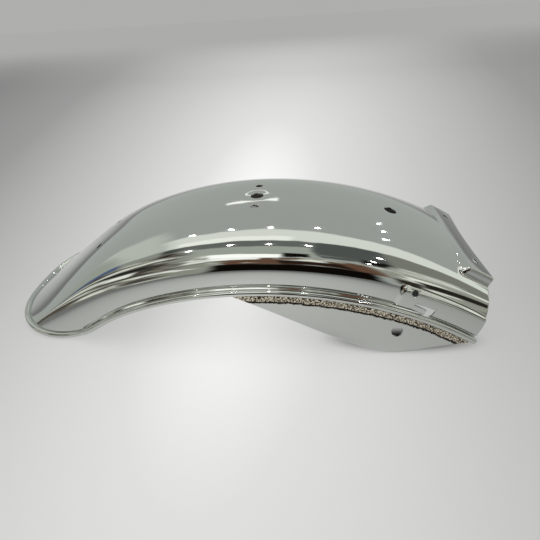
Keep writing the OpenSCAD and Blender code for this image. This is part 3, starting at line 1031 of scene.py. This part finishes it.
@dataclass(frozen=True)
class LedgePlate(ChromePlate):
    """Chrome-plated steel with a rough ledge: plating that stays thin, brassy and grainy in a fold.

    The grain sparkles along the ridge and is stained dark brown on both sides of it.
    """

    name: str = "chrome_plated_steel_with_rough_ledge"
    # Painted shade: dark brown on both sides of the ridge, under the rolled edge and under the ridge.
    stain_colour: str = "#17110B"
    # Painted shade in the grain's pits, and a pale brassy tint brightened as a painted sparkle on its raised
    # flecks.
    pit_shade_colour: str = "#3B2E1F"
    ridge_colour: str = "#EFE6D2"
    grain_roughness: float = 0.22
    grain_size: float = 1.1 * MM
    grain_height: float = 0.8 * MM
    ridge_band: tuple[float, ...] = (2.8 * MM, 3.6 * MM, 7.8 * MM, 8.6 * MM)
    ledge_end: tuple[float, float] = (9.2 * MM, 10 * MM)
    ragged: float = 2.4 * MM
    drift_share: float = 0.12
    grain_detail: float = 2
    fleck_from: float = 0.42
    fleck_to: float = 0.6

    def material(self) -> bpy.types.Material:
        """Returns the finish as a material that reads each point's distance across the wing."""
        material = super().material()
        tree = material.node_tree
        shader = tree.nodes["Principled BSDF"]
        known = {
            "place": add_node(tree, "ShaderNodeTexCoord").outputs["Object"],
            "across": add_node(tree, "ShaderNodeAttribute", attribute_name="from_middle").outputs["Fac"],
            "dull": shader.inputs["Roughness"].links[0].from_socket,
            "rippled": shader.inputs["Normal"].links[0].from_socket,
        }
        add_rule(tree, known, [
            ("grain", "NOISE", "place", 1 / self.grain_size, self.grain_detail),
            ("drift", "NOISE", "place", self.drift_share / self.grain_size, self.grain_detail),
            ("shake", "MULTIPLY_ADD", "grain", self.ragged, "across"),
            ("drifted", "MULTIPLY_ADD", "drift", self.ragged, "shake"),
            ("shaken", "SUBTRACT", "drifted", self.ragged),
            ("ended", "EASE", "shaken", *self.ledge_end),
            ("mask", "SUBTRACT", 1.0, "ended"),
            ("ridge", "BAND", "shaken", *self.ridge_band),
            # Raised grain gets the pale painted sparkle and its pits get the dark brown painted shade.
            ("fleck", "EASE", "grain", self.fleck_from, self.fleck_to),
            ("grained", "MIX", "fleck", self.pit_shade_colour, self.ridge_colour),
            # Outside the ridge band the ledge is painted dark brown as shade.
            ("stained", "MIX", "ridge", self.stain_colour, "grained"),
            ("tint", "MIX", "mask", self.colour, "stained"),
            ("more", "SUBTRACT", self.grain_roughness, "dull"),
            ("rough", "MULTIPLY_ADD", "mask", "more", "dull"),
            ("raised", "MULTIPLY", "mask", "grain"),
            ("uneven", "BUMP", "raised", self.grain_height, 1.0, "rippled"),
        ])
        for name, value in {"Base Color": "tint", "Roughness": "rough", "Normal": "uneven"}.items():
            tree.links.new(known[value], shader.inputs[name])
        return material


@dataclass(frozen=True)
class ShadedInnerPlate(ChromePlate):
    """Chrome-plated steel that was never polished: dull and unevenly covered, with a dark colour painted on
    as the shade inside the mudguard.
    """

    name: str = "chrome_plated_steel_unpolished_in_painted_shade"
    # Painted shade: the inside gets a dark colour, so it and the holes read dark.
    colour: str = "#3E3C39"
    roughness: float = 0.42
    cloud_roughness: float = 0.2
    ripple_size: float = 5 * MM
    ripple_height: float = 0.03 * MM
    cloud_size: float = 14 * MM


@dataclass(frozen=True)
class TablePaper:
    """Matt paper on a table, with painted light: it glows with a painted pool of light, pale and
    almost without shadow in front of the object, darker towards the sides.

    It is a pressed white stock without gloss. A painted shadow takes the glow away under and
    behind the object, and in soft patches, where a look through a hole meets it, so that the
    holes read dark.
    """

    name: str = "matt_backdrop_paper"
    # Painted pool of light: the glowing floor is palest just before the object and darker outwards.
    tones: tuple[tuple[float, str], ...] = (
        (0, "#F6F6F5"), (0.13, "#D0D0CF"), (0.3, "#B8B8B7"), (0.6, "#8A8A8A"), (0.9, "#757575"),
    )
    tone_reach: float = 1.6
    half_width: float = 0.42
    widening: float = 0.36
    back_fall: float = 0.33
    back_fall_most: float = 0.45
    # Glow colour of the far floor, where the painted pool of light has faded.
    far_tone: str = "#9A9A99"
    far_from: float = 1.2
    far_to: float = 3.5
    roughness: float = 0.9
    albedo: float = 0.3
    glow: float = 0.88
    # Painted shadow: the glow is taken away under and behind the object and in soft patches below the holes.
    dim_band: tuple[float, ...] = (5 * MM, 45 * MM, 150 * MM, 185 * MM)
    dim_end: tuple[float, float] = (90 * MM, 190 * MM)
    spots: tuple[tuple[float, float], ...] = (
        (112 * MM, -71 * MM), (138 * MM, -14.5 * MM), (-34.8 * MM, 176 * MM),
    )
    spot_edge: tuple[float, float] = (5 * MM, 18 * MM)
    spot_flatness: float = 0.25

    def material(self, shift: Vector) -> bpy.types.Material:
        """Returns the finish as a material.

        Args:
            shift: shift from the axle's frame, in which the painted shadow patches are placed, to the CAD
                frame.
        """
        material = bpy.data.materials.new(self.name)
        material.use_nodes = True
        tree = material.node_tree
        shader = tree.nodes["Principled BSDF"]
        known = {"place": add_node(tree, "ShaderNodeTexCoord").outputs["Object"]}
        add_rule(tree, known, [
            ("at", "SPLIT", "place"),
            ("back", "MAXIMUM", "at_y", 0.0),
            ("before", "MINIMUM", "at_y", 0.0),
            ("spread", "MULTIPLY_ADD", "back", self.widening, self.half_width),
            ("aside", "DIVIDE", "at_x", "spread"),
            ("aside_square", "MULTIPLY", "aside", "aside"),
            ("far_raw", "MULTIPLY", "back", self.back_fall),
            ("far", "MINIMUM", "far_raw", self.back_fall_most),
            ("away", "SUBTRACT", "far", "before"),
            ("away_square", "MULTIPLY_ADD", "away", "away", "aside_square"),
            ("distance", "SQRT", "away_square"),
            ("share", "DIVIDE", "distance", self.tone_reach),
            # The painted pool of light, as the floor's glow colour.
            ("near_tone", "RAMP", "share", self.tones),
            ("far_on", "EASE", "at_y", self.far_from, self.far_to),
            ("tone", "MIX", "far_on", "near_tone", self.far_tone),
            ("paper", "MIX", self.albedo, "#000000", "tone"),
            # Painted shadow band under and behind the object.
            ("dim_depth", "BAND", "at_y", *self.dim_band),
            ("off_middle", "ABSOLUTE", "at_x"),
            ("dim_out", "EASE", "off_middle", *self.dim_end),
            ("dim_length", "SUBTRACT", 1.0, "dim_out"),
            ("dim", "MULTIPLY", "dim_depth", "dim_length"),
        ])
        # Soft painted shadow patches where a look through a hole meets the floor.
        for along, across in self.spots:
            add_rule(tree, known, [
                ("spot_off", "SUBTRACT", "at_x", along + shift.x),
                ("spot_x", "MULTIPLY", "spot_off", self.spot_flatness),
                ("spot_y", "SUBTRACT", "at_y", across),
                ("spot_square", "MULTIPLY", "spot_x", "spot_x"),
                ("spot_far", "MULTIPLY_ADD", "spot_y", "spot_y", "spot_square"),
                ("spot_gap", "SQRT", "spot_far"),
                ("spot_out", "EASE", "spot_gap", *self.spot_edge),
                ("spot", "SUBTRACT", 1.0, "spot_out"),
                ("dim", "MAXIMUM", "dim", "spot"),
            ])
        # The floor glows with its painted light, less where the painted shadow lies.
        add_rule(tree, known, [("lit", "SUBTRACT", 1.0, "dim"), ("glow", "MULTIPLY", "lit", self.glow)])
        inputs = {"Base Color": "paper", "Emission Color": "tone", "Emission Strength": "glow"}
        for name, value in inputs.items():
            tree.links.new(known[value], shader.inputs[name])
        shader.inputs["Roughness"].default_value = self.roughness
        return material


def spread(middle: float, half: float) -> tuple[float, float]:
    """Returns the two ends of a border that is soft over a half width on both sides."""
    return middle - half, middle + half


@dataclass(frozen=True)
class Card:
    """A plain card or dark flag of the studio, placed by the directions that it covers.

    Its low and high borders are degrees over the top, from the far horizon at 0, through the
    zenith at 90, to the near horizon at 180. Its rear and front borders are sines of the
    direction along X. Soft is half the width of its soft border, in degrees.
    """

    colour: str
    low: float
    high: float
    rear: float = -2
    front: float = 2
    soft: float = 1.5

    def lay(self, tree: bpy.types.NodeTree, known: dict[str, Value]) -> None:
        """Lays the card over the room's colour.

        Args:
            tree: the world's node tree.
            known: the room's named values over, along and colour.
        """
        side_soft = self.soft / DEGREES_PER_SINE
        add_rule(tree, known, [
            ("height", "BAND", "over", *spread(self.low, self.soft), *spread(self.high, self.soft)),
            ("length", "BAND", "along", *spread(self.rear, side_soft), *spread(self.front, side_soft)),
            ("mask", "MULTIPLY", "height", "length"),
            ("colour", "MIX", "mask", "colour", self.colour),
        ])


@dataclass(frozen=True)
class Room:
    """The room as the chrome sees it: a grey wall, plain cards, blurred patches and dark flags."""

    reflectance: float = 0.56
    wall: str = "#929692"
    plain: str = "#868685"
    cards: tuple[Card, ...] = (
        Card("#CCCFC8", 68, 91, -0.64),
        Card("#E2E4DD", 81, 91, -0.58, 0.08),
        Card("#AEB1AB", 46, 94, -0.88, -0.62, 4),
        Card("#8E938A", 50, 92, -2, -0.86, 4),
        Card("#5C605D", 91, 126, -0.64),
        Card("#83877F", 92, 138, -2, -0.64),
        Card("#939890", 105, 128, -0.56, 0.2),
        Card("#4A4E4C", 90, 130, 0.22, 0.58),
        Card("#72736B", 91, 124, 0.6),
        Card("#B2B3AA", 121, 151, 0.64, 0.86),
        Card("#4B5058", 92, 118, -2, -0.86, 3),
        Card("#6E7069", 132, 160, -2, -0.38, 4),
        Card("#85867D", 150, 187, -2, -0.34, 4),
        Card("#5A4234", 137, 160, -0.34, 0.5, 2),
        Card("#8A8B82", 138, 187, 0.5, 2, 4),
        Card("#3F4240", 93, 122, -0.64, -0.56, 2),
        Card("#F4F5F0", 26.5, 28.5, -0.28, -0.03, 0.6),
    )
    flags: tuple[Card, ...] = (
        Card("#F8F9F6", 126, 137, -0.38, -0.02, 1),
        Card("#F0F1EC", 138, 143, -0.36, -0.14, 1),
        Card("#0D0A08", 122, 134, 0.0, 0.16, 1),
        Card("#0B0806", 158, 187, -0.34, 0.42, 2),
        Card("#251A13", 146, 157, -0.02, 0.34, 1.5),
        Card("#14110D", 118, 134, 0.47, 0.6, 1.5),
        Card("#2A2520", 158, 176, 0.5, 0.62, 1.5),
        Card("#23201B", 151, 166, 0.63, 0.95, 1.5),
        Card("#1C1D1B", 126, 133, -0.9, -0.7, 1.5),
        Card("#DADCD4", 138, 148, -0.88, -0.74, 2),
        Card("#4C5A78", 92, 104, -2, -0.84, 2),
    )
    wave_scale: float = 3.2
    wave_detail: float = 3
    wobble: float = 9
    side_wobble: float = 0.16
    patch_scale: tuple[float, float] = (2.2, 0.06)
    patch_noise: float = 1.6
    patch_detail: float = 4
    patch_tones: tuple[tuple[float, str], ...] = (
        (0.4, "#0A0806"), (0.445, "#3C2A20"), (0.49, "#6E6C64"), (0.55, "#94958C"), (0.61, "#D6D7CE"),
    )
    patch_from: float = 0.48
    patch_to: float = 0.55
    low_band: tuple[float, ...] = (120, 132, 166, 184)
    rear_band: tuple[float, ...] = (96, 108, 174, 188)
    rear_end: tuple[float, float] = (-0.6, -0.44)
    rear_share: float = 0.8

    def build(self) -> None:
        """Makes the world, which looks plain to the camera and shows its cards to the chrome."""
        world = bpy.data.worlds.new("room")
        bpy.context.scene.world = world
        world.use_nodes = True
        tree = world.node_tree
        tree.nodes.clear()
        known = {
            "place": add_node(tree, "ShaderNodeTexCoord").outputs["Generated"],
            "seen": add_node(tree, "ShaderNodeLightPath").outputs["Is Camera Ray"],
            "colour": linear(self.wall),
        }
        add_rule(tree, known, [
            ("wave", "NOISE", "place", self.wave_scale, self.wave_detail),
            ("to", "SPLIT", "place"),
            ("over_r", "ARCTAN2", "to_z", "to_y"),
            ("over_d", "DEGREES", "over_r"),
            ("behind", "LESS_THAN", "over_d", -90.0),
            ("over_flat", "MULTIPLY_ADD", "behind", 360.0, "over_d"),
            ("over_up", "MULTIPLY_ADD", "wave", self.wobble, "over_flat"),
            ("over", "SUBTRACT", "over_up", self.wobble / 2),
            ("x_wave", "MULTIPLY_ADD", "wave", self.side_wobble, "to_x"),
            ("along", "SUBTRACT", "x_wave", self.side_wobble / 2),
        ])
        for card in self.cards:
            card.lay(tree, known)
        add_rule(tree, known, [
            ("patch_x", "MULTIPLY", "to_x", self.patch_scale[0]),
            ("patch_y", "MULTIPLY", "over_flat", self.patch_scale[1]),
            ("patch_place", "POINT", "patch_x", "patch_y"),
            ("patch", "NOISE", "patch_place", self.patch_noise, self.patch_detail),
            ("patch_tone", "RAMP", "patch", self.patch_tones),
            ("patchy", "EASE", "patch", self.patch_from, self.patch_to),
            ("low_wall", "BAND", "over", *self.low_band),
            ("low_patches", "MULTIPLY", "patchy", "low_wall"),
            ("not_rear", "EASE", "to_x", *self.rear_end),
            ("rear", "SUBTRACT", 1.0, "not_rear"),
            ("rear_wall", "BAND", "over", *self.rear_band),
            ("rear_patches", "MULTIPLY", "rear", "rear_wall"),
            ("rear_strength", "MULTIPLY", "rear_patches", self.rear_share),
            ("patches", "MAXIMUM", "low_patches", "rear_strength"),
            ("colour", "MIX", "patches", "colour", "patch_tone"),
        ])
        for card in self.flags:
            card.lay(tree, known)
        add_rule(tree, known, [("view", "MIX", "seen", "colour", self.plain)])
        background = add_node(
            tree, "ShaderNodeBackground", {"Color": known["view"], "Strength": 1 / self.reflectance}
        )
        add_node(tree, "ShaderNodeOutputWorld", {"Surface": background.outputs[0]})


@dataclass
class Studio:
    """Pale floor, soft daylight on it, ceiling lamps, the room round them and the camera.

    The lamps are placed by their distances along X and Y as shares of their height.
    """

    shift: Vector
    floor_reach: float = 9.0
    sun_strength: float = 1.0
    sun_angle: float = 60
    lamp_height: float = 2.4
    lamp_power: float = 0.5
    lamp_size: tuple[float, float] = (0.05, 0.12)
    lamps: tuple[tuple[float, float], ...] = (
        (-0.60, 0.40), (-0.30, 0.415), (-0.04, 0.433), (0.27, 0.519),
        (-0.61, -0.268), (-0.29, -0.192), (-0.04, -0.194), (0.204, -0.196),
        (0.74, -0.30), (0.73, -0.58), (0.735, -0.81), (0.96, 1.44), (0.90, 1.02), (0.83, 0.624),
    )
    camera_place: tuple[float, float, float] = (31.92 * MM, -284.55 * MM, 479.79 * MM)
    camera_right: tuple[float, float, float] = (0.99601, 0.07001, -0.05539)
    camera_down: tuple[float, float, float] = (-0.00322, -0.59195, -0.80597)
    camera_look: tuple[float, float, float] = (-0.08921, 0.80293, -0.58936)
    camera_clip: float = 10 * MM
    lens: float = 24.23
    sensor: float = 36

    def camera(self) -> None:
        """Places the camera and makes it the scene's own."""
        data = bpy.data.cameras.new("camera")
        data.lens = self.lens
        data.sensor_width = self.sensor
        data.clip_start = self.camera_clip
        camera = bpy.data.objects.new("camera", data)
        bpy.context.scene.collection.objects.link(camera)
        turn = Matrix((self.camera_right, -Vector(self.camera_down), -Vector(self.camera_look)))
        place = Matrix.Translation(Vector(self.camera_place) + self.shift)
        camera.matrix_world = place @ turn.transposed().to_4x4()
        bpy.context.scene.camera = camera

    def floor(self) -> None:
        """Lays the floor, which is stage and not part of the object."""
        reach = self.floor_reach
        corners = [(-reach, -reach, 0), (reach, -reach, 0), (reach, reach, 0), (-reach, reach, 0)]
        mesh = bpy.data.meshes.new("floor")
        mesh.from_pydata(corners, [], [(0, 1, 2, 3)])
        floor = bpy.data.objects.new("floor", mesh)
        mesh.materials.append(TablePaper().material(self.shift))
        bpy.context.scene.collection.objects.link(floor)

    def light(self) -> None:
        """Sets the soft daylight on the floor and the ceiling lamps."""
        soft = bpy.data.lights.new("soft_daylight", "SUN")
        soft.energy = self.sun_strength
        soft.angle = math.radians(self.sun_angle)
        sky = bpy.data.objects.new("soft_daylight", soft)
        sky.visible_glossy = False
        bpy.context.scene.collection.objects.link(sky)
        for along, across in self.lamps:
            lamp = bpy.data.lights.new("ceiling_lamp", "AREA")
            lamp.shape = "ELLIPSE"
            lamp.size, lamp.size_y = self.lamp_size
            lamp.energy = self.lamp_power
            hung = bpy.data.objects.new("ceiling_lamp", lamp)
            place = Vector((along, across, 1)) * self.lamp_height
            turn = place.to_track_quat("Z", "Y").to_matrix().to_4x4()
            hung.matrix_world = Matrix.Translation(place) @ turn
            bpy.context.scene.collection.objects.link(hung)


@dataclass
class Mudguard:
    """The whole mudguard: its pressed sheet, rolled edge, side wings and clip tongue."""

    shape: Shape = field(default_factory=Shape)

    def pieces(self) -> list[bpy.types.Object]:
        """Builds every piece in the wheel axle's frame and returns them."""
        plate = ChromePlate().material()
        # The inner skins get the dark colour painted as shade.
        dull = ShadedInnerPlate().material()
        ledge = LedgePlate().material()
        sheet = Sheet(self.shape)
        tool = sheet.press()
        shell = tool.form("shell_sheet", sheet.blank().mesh("sheet_blank"), plate, dull)
        tongue = tool.form("clip_tongue", sheet.tongue_blank().mesh("tongue_blank"), plate, dull)
        edge = RolledEdge(self.shape)
        bead = edge.roller().form("rolled_edge", edge.path(*sheet.border(shell)), plate, plate)
        made = [shell, tongue, bead]
        for side in Side:
            wing = Wing(self.shape, side)
            blank = wing.blank().mesh("wing_blank")
            made.append(wing.folder().form(f"wing_{side.name.lower()}", blank, ledge, dull))
        return made


def place_on_frame(pieces: list[bpy.types.Object]) -> Vector:
    """Moves the pieces' points from the axle's frame to the CAD frame.

    Args:
        pieces: the pieces, as built about the wheel axle.

    Returns:
        The shift from the axle's frame to the CAD frame.
    """
    points = np.vstack([mesh_points(piece.data) for piece in pieces])
    low, high = points.min(0), points.max(0)
    shift = Vector(((CAD_BOX[0].x + CAD_BOX[1].x - low[0] - high[0]) / 2, 0, CAD_BOX[1].z - high[2]))
    for piece in pieces:
        piece.data.transform(Matrix.Translation(shift))
    return shift


def main() -> None:
    """Builds the mudguard, its stage, its light and its camera."""
    logging.basicConfig(level=logging.INFO, format="%(message)s")
    pieces = Mudguard().pieces()
    shift = place_on_frame(pieces)
    for piece in pieces:
        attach(piece, "root")
        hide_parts(SHELL)
        LOG.info("%s: %d faces", piece.name, len(piece.data.polygons))
    studio = Studio(shift)
    studio.floor()
    Room().build()
    studio.light()
    studio.camera()
    bpy.context.scene.view_settings.view_transform = "Standard"


if __name__ == "__main__":
    main()
